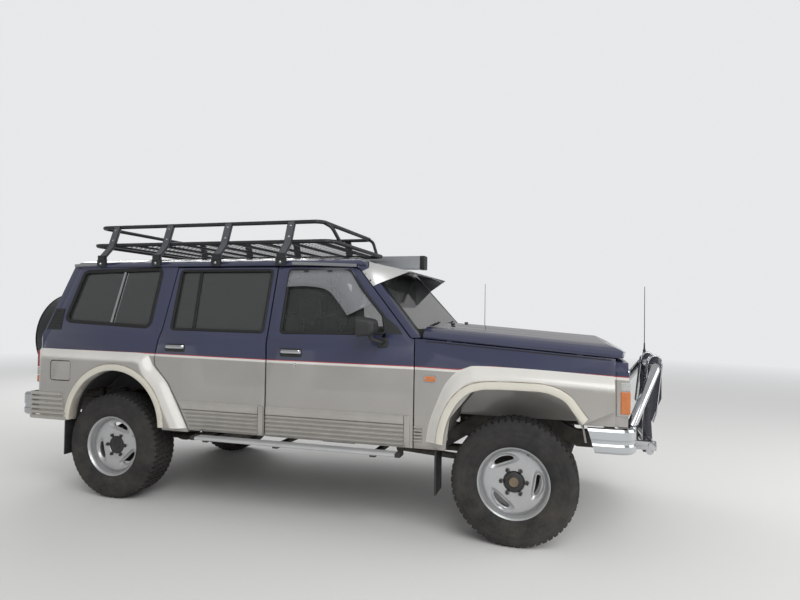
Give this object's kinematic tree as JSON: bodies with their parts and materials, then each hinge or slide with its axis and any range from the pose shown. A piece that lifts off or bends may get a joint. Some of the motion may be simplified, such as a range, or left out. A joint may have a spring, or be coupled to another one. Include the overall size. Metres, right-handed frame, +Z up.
{
  "type": "lifted off-road station wagon",
  "caption": "Full-size long-wheelbase off-road wagon with opening doors, steering, roof rack and bull bar.",
  "frame": {"origin": "on the ground, under the middle of the vehicle's box", "axes": "+X forward, +Y to the vehicle's left, +Z up"},
  "size_m": [4.952, 2.21, 2.106],
  "materials": {
    "paint": "two-tone gloss paint",
    "flare": "warm white",
    "trim": "black trim",
    "chrome": "bright",
    "bar": "polished tube and dark plates",
    "frame": "black chassis paint with dust",
    "iron": "dull",
    "tyre": "matte rubber",
    "alloy": "silver alloy",
    "glass": "dark tinted",
    "lamp": "clear and orange lenses",
    "rack": "grey powder coat",
    "awning": "anodised case, black ends",
    "step": "ribbed plank",
    "rubber": "matte",
    "cloth": "grey seat cloth",
    "dash": "grained",
    "vinyl": "smooth black cover"
  },
  "bodies": {
    "body": {"body_left_side": "paint", "body_right_side": "paint", "tail_frame": "paint", "roof_panel": "paint", "floor_pan": "frame", "front_guards": "paint", "arch_flares": "flare", "front_panel": "trim", "lamps": "lamp", "fixed_glass": "glass", "chassis_frame": "frame", "front_axle": "frame", "rear_axle": "frame", "suspension": "frame", "driveline": "iron", "engine_block": "iron", "front_bumper": "chrome", "bull_bar": "bar", "rear_bumper": "chrome", "side_steps": "step", "mudflaps": "rubber", "roof_rack": "rack", "awning": "awning", "sun_visor": "glass", "wipers_and_aerials": "trim", "seats": "cloth", "dashboard": "dash"},
    "bonnet": {"bonnet": "paint"},
    "back_left_door": {"back_left_door": "paint", "back_left_glass": "glass"},
    "back_right_door": {"back_right_door": "paint", "back_right_glass": "glass", "spare_wheel": "vinyl"},
    "fuel_flap": {"fuel_flap": "paint"},
    "steering_wheel": {"steering_wheel": "dash"},
    "front_left_door": {"front_left_door": "paint", "front_left_glass": "glass"},
    "front_left_wheel": {"front_left_tyre": "tyre", "front_left_rim": "alloy"},
    "rear_left_door": {"rear_left_door": "paint", "rear_left_glass": "glass"},
    "rear_left_wheel": {"rear_left_tyre": "tyre", "rear_left_rim": "alloy"},
    "left_knuckle": {"left_knuckle": "frame"},
    "front_right_door": {"front_right_door": "paint", "front_right_glass": "glass"},
    "front_right_wheel": {"front_right_tyre": "tyre", "front_right_rim": "alloy"},
    "rear_right_door": {"rear_right_door": "paint", "rear_right_glass": "glass"},
    "rear_right_wheel": {"rear_right_tyre": "tyre", "rear_right_rim": "alloy"},
    "right_knuckle": {"right_knuckle": "frame"}
  },
  "joints": [
    {"name": "bonnet_hinge", "type": "hinge", "parent": "body", "child": "bonnet", "pos_m": [0.961, 0, 1.318], "axis": [0, -1, 0], "range_deg": [0, 50]},
    {"name": "front_left_door_hinge", "type": "hinge", "parent": "body", "child": "front_left_door", "pos_m": [0.874, 0.873, 0.915], "axis": [0, 0, -1], "range_deg": [0, 65]},
    {"name": "rear_left_door_hinge", "type": "hinge", "parent": "body", "child": "rear_left_door", "pos_m": [-0.192, 0.873, 0.915], "axis": [0, 0, -1], "range_deg": [0, 68]},
    {"name": "left_steer", "type": "hinge", "parent": "body", "child": "left_knuckle", "pos_m": [1.544, 0.64, 0.3885], "axis": [0, 0, 1], "range_deg": [-30, 30]},
    {"name": "front_left_spin", "type": "hinge", "parent": "left_knuckle", "child": "front_left_wheel", "pos_m": [1.544, 0.79, 0.3885], "axis": [0, 1, 0], "continuous": true},
    {"name": "rear_left_spin", "type": "hinge", "parent": "body", "child": "rear_left_wheel", "pos_m": [-1.426, 0.79, 0.3885], "axis": [0, 1, 0], "continuous": true},
    {"name": "front_right_door_hinge", "type": "hinge", "parent": "body", "child": "front_right_door", "pos_m": [0.874, -0.873, 0.915], "axis": [0, 0, 1], "range_deg": [0, 65]},
    {"name": "rear_right_door_hinge", "type": "hinge", "parent": "body", "child": "rear_right_door", "pos_m": [-0.192, -0.873, 0.915], "axis": [0, 0, 1], "range_deg": [0, 68]},
    {"name": "right_steer", "type": "hinge", "parent": "body", "child": "right_knuckle", "pos_m": [1.544, -0.64, 0.3885], "axis": [0, 0, 1], "range_deg": [-30, 30]},
    {"name": "front_right_spin", "type": "hinge", "parent": "right_knuckle", "child": "front_right_wheel", "pos_m": [1.544, -0.79, 0.3885], "axis": [0, 1, 0], "continuous": true},
    {"name": "rear_right_spin", "type": "hinge", "parent": "body", "child": "rear_right_wheel", "pos_m": [-1.426, -0.79, 0.3885], "axis": [0, 1, 0], "continuous": true},
    {"name": "back_right_door_hinge", "type": "hinge", "parent": "body", "child": "back_right_door", "pos_m": [-2.176, -0.798, 1], "axis": [0, 0, 1], "range_deg": [0, 100]},
    {"name": "back_left_door_hinge", "type": "hinge", "parent": "body", "child": "back_left_door", "pos_m": [-2.176, 0.798, 1], "axis": [0, 0, -1], "range_deg": [0, 100]},
    {"name": "fuel_flap_hinge", "type": "hinge", "parent": "body", "child": "fuel_flap", "pos_m": [-1.795, -0.94, 0.9415], "axis": [0, 0, 1], "range_deg": [0, 100]},
    {"name": "steering_wheel_turn", "type": "hinge", "parent": "body", "child": "steering_wheel", "pos_m": [0.454, -0.37, 1.13], "axis": [0.8829, 0, -0.4695], "range_deg": [-540, 540]}
  ],
  "couplings": [
    {"joint": "left_steer", "follows": "right_steer", "ratio": 1},
    {"joint": "steering_wheel_turn", "follows": "right_steer", "ratio": -18}
  ]
}
